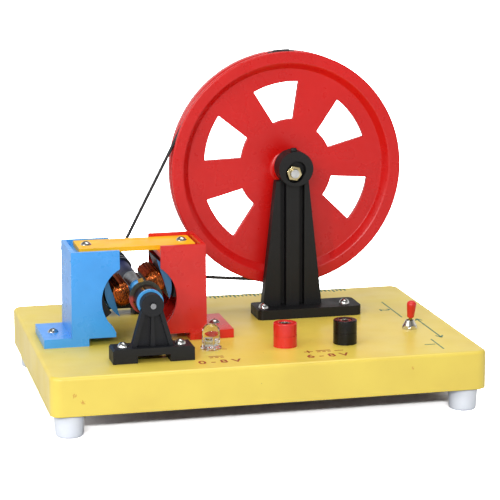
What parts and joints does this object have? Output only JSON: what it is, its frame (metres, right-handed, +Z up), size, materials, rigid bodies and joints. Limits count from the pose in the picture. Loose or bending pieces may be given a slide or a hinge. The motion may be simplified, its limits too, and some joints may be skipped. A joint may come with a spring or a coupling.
{
  "type": "demonstration motor generator",
  "caption": "Teaching motor and generator: a two-pole armature between magnet housings, belted to a large wheel, on a moulded base with sockets, lamp and changeover switch.",
  "frame": {"origin": "under the middle of the base, on the surface that the feet stand on", "axes": "+X to the right along the long side of the base, +Y away from the front, +Z up"},
  "size_m": [0.24, 0.168, 0.1888],
  "materials": {
    "base_plastic": "satin",
    "board_brown": "matte",
    "foot_white": "satin",
    "blue_plastic": "gloss",
    "red_plastic": "gloss",
    "ferrite": "matte",
    "bridge_orange": "satin",
    "black_plastic": "satin",
    "zinc_steel": "polished",
    "bronze_spring": "satin",
    "core_steel": "satin",
    "core_blue": "satin",
    "copper_wire": "gloss",
    "commutator_copper": "satin",
    "fibre_dark": "satin",
    "brass": "satin",
    "navy_plastic": "satin",
    "pulley_plastic": "satin",
    "wheel_red": "gloss",
    "belt_rubber": "matte",
    "clear_lens": "clear",
    "resistor_tan": "satin",
    "switch_blue": "satin",
    "wire_red": "satin",
    "wire_black": "satin"
  },
  "bodies": {
    "root": {"base_tray": "base_plastic", "bottom_plate": "board_brown", "feet": "foot_white", "foot_screws": "zinc_steel", "magnet_housing_blue": "blue_plastic", "magnet_housing_red": "red_plastic", "magnet_left": "ferrite", "magnet_right": "ferrite", "top_bridge": "bridge_orange", "bridge_screws": "zinc_steel", "housing_screws": "zinc_steel", "front_bearing": "black_plastic", "rear_bearing": "black_plastic", "bearing_screws": "zinc_steel", "brush_block": "black_plastic", "brush_leaves": "bronze_spring", "wheel_upright": "black_plastic", "upright_screws": "zinc_steel", "wheel_axle": "zinc_steel", "axle_nut": "zinc_steel", "axle_washers": "zinc_steel", "drive_belt": "belt_rubber", "terminal_red": "red_plastic", "terminal_black": "black_plastic", "terminal_sockets": "zinc_steel", "terminal_nuts": "zinc_steel", "led_lens": "clear_lens", "led_leads": "zinc_steel", "resistor": "resistor_tan", "toggle_body": "switch_blue", "toggle_bushing": "zinc_steel", "toggle_nut": "zinc_steel", "wires_red": "wire_red", "wires_black": "wire_black"},
    "wheel": {"drive_wheel": "wheel_red", "wheel_bush": "brass", "knob_pin": "zinc_steel"},
    "knob": {"crank_knob": "black_plastic"},
    "armature": {"shaft": "zinc_steel", "armature_core": "core_steel", "core_end_sheets": "core_blue", "coil_left": "copper_wire", "coil_right": "copper_wire", "commutator_core": "fibre_dark", "commutator_segments": "commutator_copper", "commutator_disc": "fibre_dark", "solder_tabs": "brass", "shaft_collar": "blue_plastic", "front_spacer": "blue_plastic", "rear_spacer": "navy_plastic", "pulley": "pulley_plastic"},
    "lever": {"toggle_lever": "brass", "toggle_cap": "red_plastic"}
  },
  "joints": [
    {"name": "wheel_spin", "type": "hinge", "parent": "root", "child": "wheel", "pos_m": [0.0376, 0.04175, 0.119], "axis": [0, 1, 0], "continuous": true},
    {"name": "armature_spin", "type": "hinge", "parent": "root", "child": "armature", "pos_m": [-0.0615, 0, 0.0652], "axis": [0, 1, 0], "continuous": true},
    {"name": "knob_spin", "type": "hinge", "parent": "wheel", "child": "knob", "pos_m": [0.01309, 0.0555, 0.15311], "axis": [0, 1, 0], "continuous": true},
    {"name": "switch_lever", "type": "hinge", "parent": "root", "child": "lever", "pos_m": [0.0937, -0.0255, 0.0356], "axis": [-1, 0, 0], "range_deg": [0, 24]}
  ],
  "couplings": [
    {"joint": "armature_spin", "follows": "wheel_spin", "ratio": 16}
  ]
}
